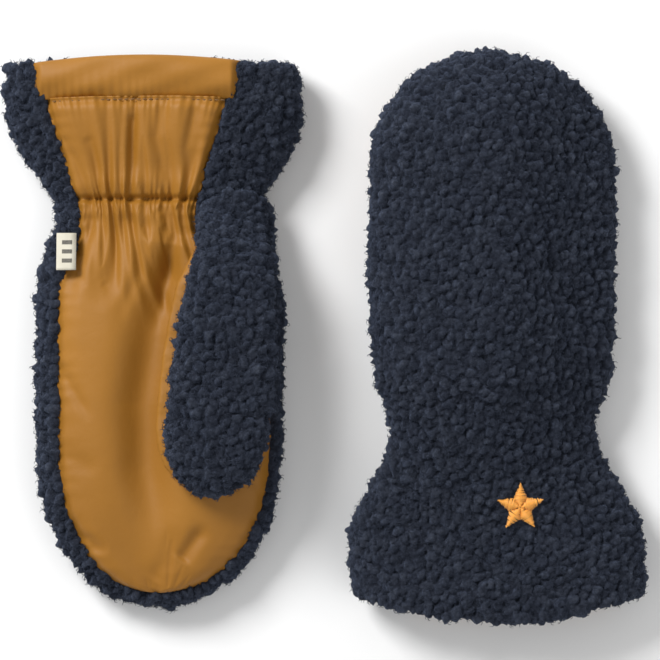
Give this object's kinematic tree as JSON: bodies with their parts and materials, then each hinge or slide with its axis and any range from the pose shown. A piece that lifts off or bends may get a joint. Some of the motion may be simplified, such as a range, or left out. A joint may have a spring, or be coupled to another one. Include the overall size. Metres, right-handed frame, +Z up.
{
  "type": "pair of padded pile mittens",
  "caption": "Pair of children's mittens with a curly pile back, a padded smooth palm, a thumb, a gathered wrist and a flared cuff with a folded hem.",
  "frame": {"origin": "under the middle of the pair's box, on the surface that the pair lies on", "axes": "+X across the pair from the left-hand mitten to the right-hand one, +Y towards the left mitten's hem and the right mitten's fingertips, +Z up"},
  "size_m": [0.228, 0.2004, 0.0365],
  "materials": {
    "navy_pile": "matt curly pile, deep and bouncy",
    "ochre_nylon": "smooth padded nylon with a soft satin sheen",
    "navy_lining": "brushed fleece lining",
    "wadding": "thin polyester wadding",
    "elastic_band": "flat woven elastic",
    "cream_label": "folded woven cotton tape",
    "orange_thread": "satin-stitched embroidery thread",
    "ochre_thread": "twisted sewing thread"
  },
  "bodies": {
    "left_hand": {"left_hand_back_pile": "navy_pile", "left_palm_panel": "ochre_nylon", "left_palm_wadding": "wadding", "left_hand_lining": "navy_lining", "left_wrist_pile": "navy_pile", "left_wrist_gather": "ochre_nylon", "left_wrist_elastic": "elastic_band", "left_wrist_lining": "navy_lining", "left_side_label": "cream_label"},
    "left_cuff": {"left_cuff_back_pile": "navy_pile", "left_cuff_palm_panel": "ochre_nylon", "left_hem_fold": "ochre_nylon", "left_cuff_lining": "navy_lining", "left_hem_stitching": "ochre_thread"},
    "left_thumb": {"left_thumb_back_pile": "navy_pile", "left_thumb_palm_panel": "ochre_nylon", "left_thumb_lining": "navy_lining"},
    "right_hand": {"right_hand_back_pile": "navy_pile", "right_palm_panel": "ochre_nylon", "right_palm_wadding": "wadding", "right_hand_lining": "navy_lining", "right_wrist_pile": "navy_pile", "right_wrist_gather": "ochre_nylon", "right_wrist_elastic": "elastic_band", "right_wrist_lining": "navy_lining"},
    "right_cuff": {"right_cuff_back_pile": "navy_pile", "right_cuff_palm_panel": "ochre_nylon", "right_hem_fold": "ochre_nylon", "right_cuff_lining": "navy_lining", "right_hem_stitching": "ochre_thread", "right_cuff_motif": "orange_thread"},
    "right_thumb": {"right_thumb_back_pile": "navy_pile", "right_thumb_palm_panel": "ochre_nylon", "right_thumb_lining": "navy_lining"}
  },
  "joints": [
    {"name": "left_wrist_flex", "type": "hinge", "parent": "left_hand", "child": "left_cuff", "pos_m": [-0.05881, 0.04477, 0.002], "axis": [1, 0, 0], "range_deg": [0, 18], "deforming": ["left_wrist_pile", "left_wrist_gather", "left_wrist_elastic", "left_wrist_lining"]},
    {"name": "left_thumb_swing", "type": "hinge", "parent": "left_hand", "child": "left_thumb", "pos_m": [-0.03281, 0.02077, 0.0234], "axis": [0, 0, 1], "range_deg": [0, 18]},
    {"name": "right_mitten_lift", "type": "slide", "parent": "left_hand", "child": "right_hand", "axis": [0, 0, 1], "range_m": [0, 0.05]},
    {"name": "right_wrist_flex", "type": "hinge", "parent": "right_hand", "child": "right_cuff", "pos_m": [0.05839, -0.03323, 0.002], "axis": [-1, 0, 0], "range_deg": [0, 18], "deforming": ["right_wrist_pile", "right_wrist_gather", "right_wrist_elastic", "right_wrist_lining"]},
    {"name": "right_thumb_swing", "type": "hinge", "parent": "right_hand", "child": "right_thumb", "pos_m": [0.03239, -0.00923, 0.013], "axis": [0, 0, 1], "range_deg": [0, 18]}
  ]
}
